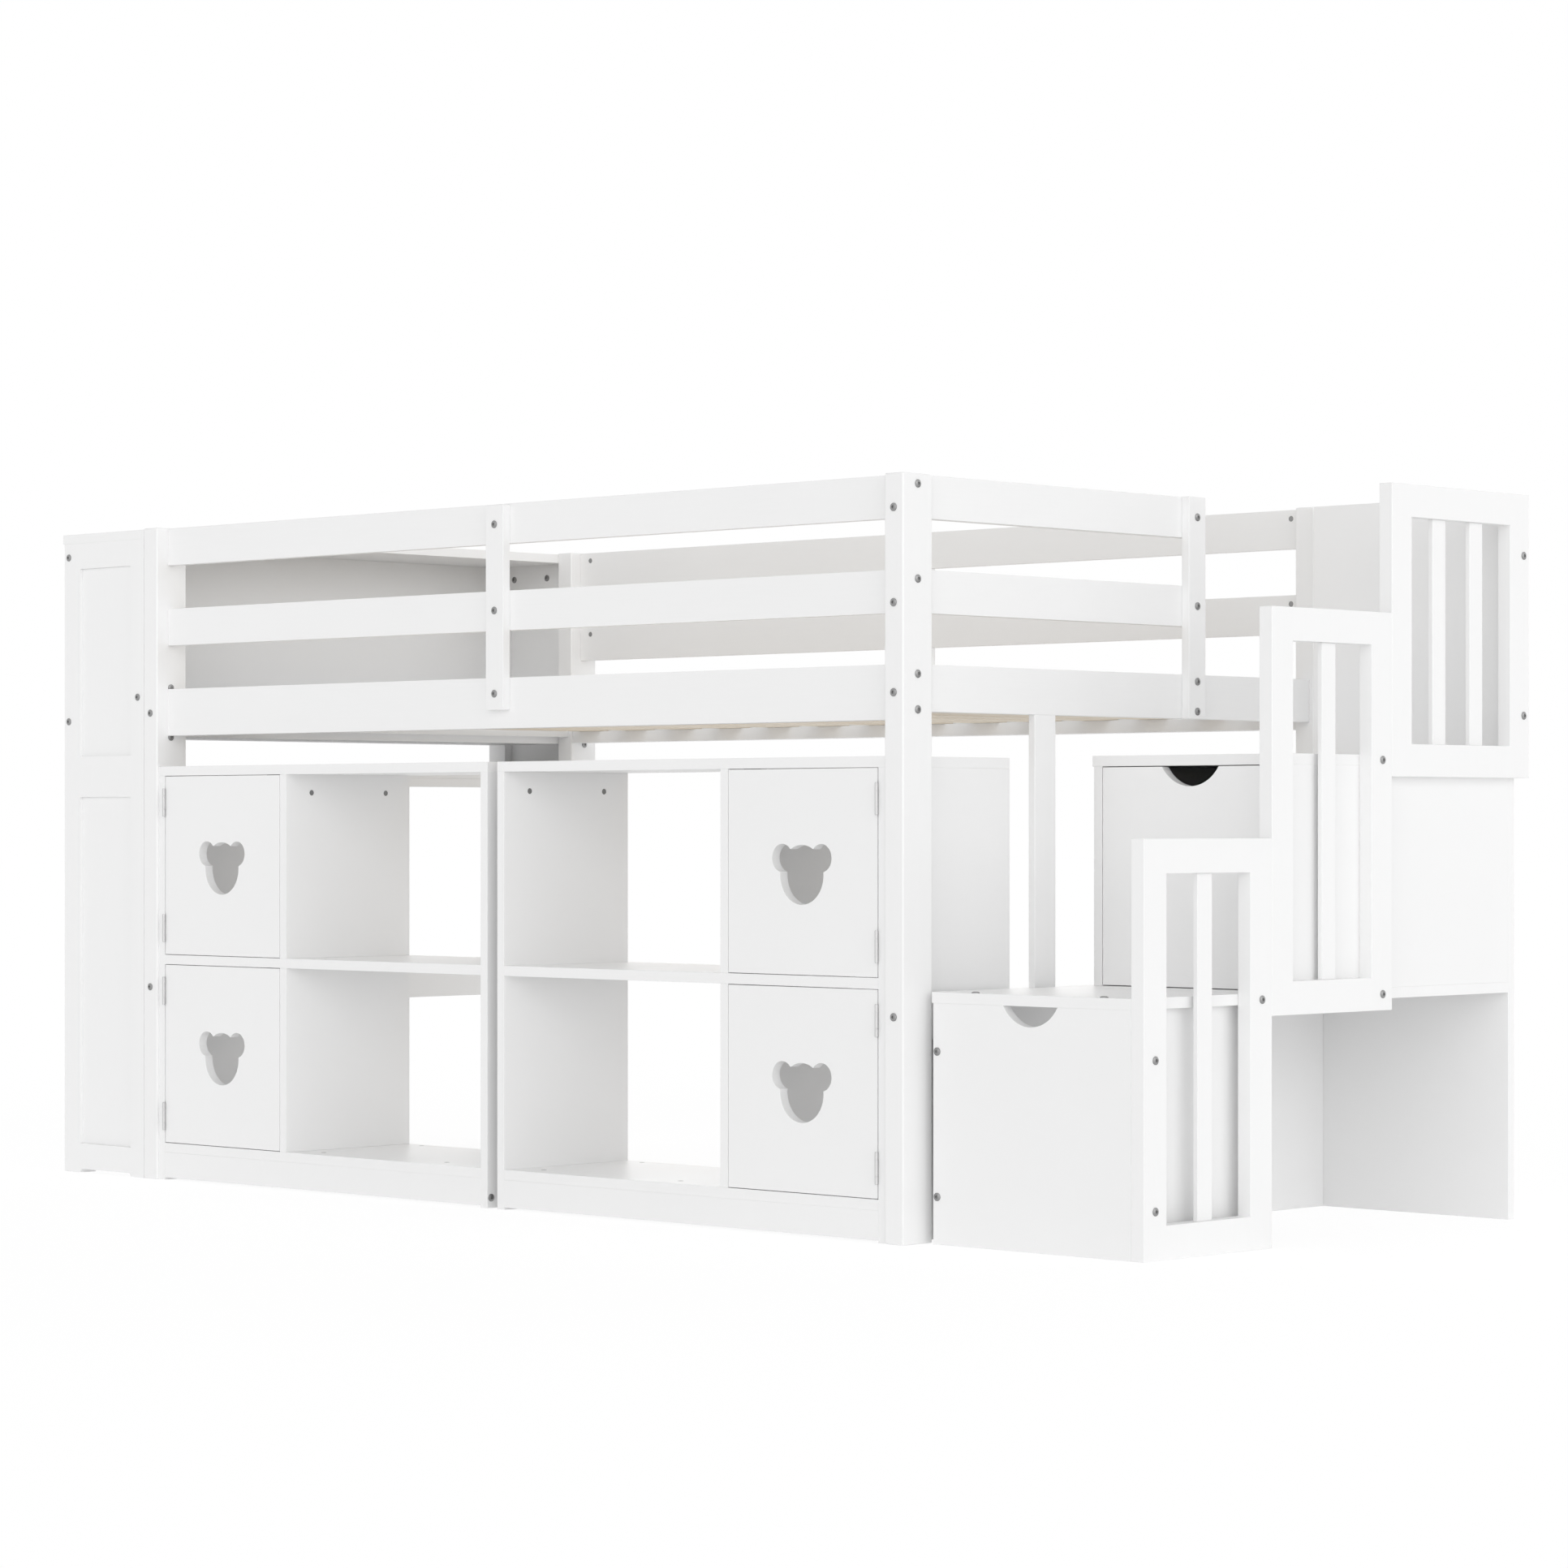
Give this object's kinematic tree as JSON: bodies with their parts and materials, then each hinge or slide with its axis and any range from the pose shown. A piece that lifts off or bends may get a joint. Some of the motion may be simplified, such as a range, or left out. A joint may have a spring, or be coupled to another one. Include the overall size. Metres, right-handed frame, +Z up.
{
  "type": "loft bed with desk",
  "caption": "Low loft bed with guard rails over bookcases with bear cut-out doors, storage stairs with a railing and drawer, and a headboard shelf over a pull-out desk.",
  "frame": {"origin": "middle of the bounding box's footprint, on the floor", "axes": "+Z up; +X along the bed towards the stairs; -Y towards the front with the bookcase doors"},
  "size_m": [2.698, 1.17, 1.253],
  "materials": {
    "painted_pine": "solid pine with a satin white paint, softly rounded edges",
    "painted_board": "fibreboard with a satin white paint",
    "raw_pine": "planed pine, unfinished",
    "dark_steel": "dark zinc-plated steel, satin",
    "hinge_steel": "bright zinc-plated steel",
    "runner_steel": "zinc-plated steel"
  },
  "bodies": {
    "base": {"post_front_left": "painted_pine", "post_front_right": "painted_pine", "post_back_left": "painted_pine", "post_back_right": "painted_pine", "side_rails": "painted_pine", "guard_rails_front": "painted_pine", "guard_rails_back": "painted_pine", "guard_rails_end": "painted_pine", "end_rails": "painted_pine", "balusters": "painted_pine", "support_leg": "painted_pine", "slat_ledgers": "painted_pine", "bed_slats": "raw_pine", "bolts": "dark_steel", "case_sides": "painted_board", "case_dividers": "painted_board", "case_tops": "painted_board", "case_shelves": "painted_board", "case_bottoms": "painted_board", "case_plinths": "painted_board", "case_cams": "dark_steel", "hinge_case_leaves": "hinge_steel", "door_catches": "hinge_steel", "step_front": "painted_board", "step_tread": "painted_board", "step_side_right": "painted_board", "stair_wall_left": "painted_board", "landing_sides": "painted_board", "landing_floor": "painted_board", "landing_top": "painted_board", "stair_back_panel": "painted_board", "runner_rails": "runner_steel", "railing_lower": "painted_pine", "railing_middle": "painted_pine", "railing_upper": "painted_pine", "railing_slats": "painted_pine", "stair_battens": "painted_pine", "end_side_front": "painted_pine", "end_side_back": "painted_pine", "end_side_panels": "painted_pine", "end_top": "painted_board", "niche_back": "painted_board", "niche_floor": "painted_board", "niche_rail": "painted_pine"},
    "door_left_upper": {"door_left_upper": "painted_board", "hinge_leaves_left_upper": "hinge_steel"},
    "door_left_lower": {"door_left_lower": "painted_board", "hinge_leaves_left_lower": "hinge_steel"},
    "door_right_upper": {"door_right_upper": "painted_board", "hinge_leaves_right_upper": "hinge_steel"},
    "door_right_lower": {"door_right_lower": "painted_board", "hinge_leaves_right_lower": "hinge_steel"},
    "drawer": {"drawer_front": "painted_board", "drawer_box": "painted_board", "drawer_bottom": "painted_board", "drawer_slides": "runner_steel"},
    "desk": {"desk_top": "painted_board", "desk_apron": "painted_pine", "desk_slides": "runner_steel"}
  },
  "joints": [
    {"name": "door_left_upper_hinge", "type": "hinge", "parent": "base", "child": "door_left_upper", "pos_m": [-1.0329, -0.58075, 0.60375], "axis": [0, 0, -1], "range_deg": [0, 170]},
    {"name": "door_left_lower_hinge", "type": "hinge", "parent": "base", "child": "door_left_lower", "pos_m": [-1.0329, -0.58075, 0.2425], "axis": [0, 0, -1], "range_deg": [0, 170]},
    {"name": "door_right_upper_hinge", "type": "hinge", "parent": "base", "child": "door_right_upper", "pos_m": [0.8289, -0.58075, 0.60375], "axis": [0, 0, 1], "range_deg": [0, 170]},
    {"name": "door_right_lower_hinge", "type": "hinge", "parent": "base", "child": "door_right_lower", "pos_m": [0.8289, -0.58075, 0.2425], "axis": [0, 0, 1], "range_deg": [0, 170]},
    {"name": "drawer_slide", "type": "slide", "parent": "base", "child": "drawer", "axis": [0, -1, 0], "range_m": [0, 0.38]},
    {"name": "desk_slide", "type": "slide", "parent": "base", "child": "desk", "axis": [-1, 0, 0], "range_m": [0, 0.17]}
  ]
}
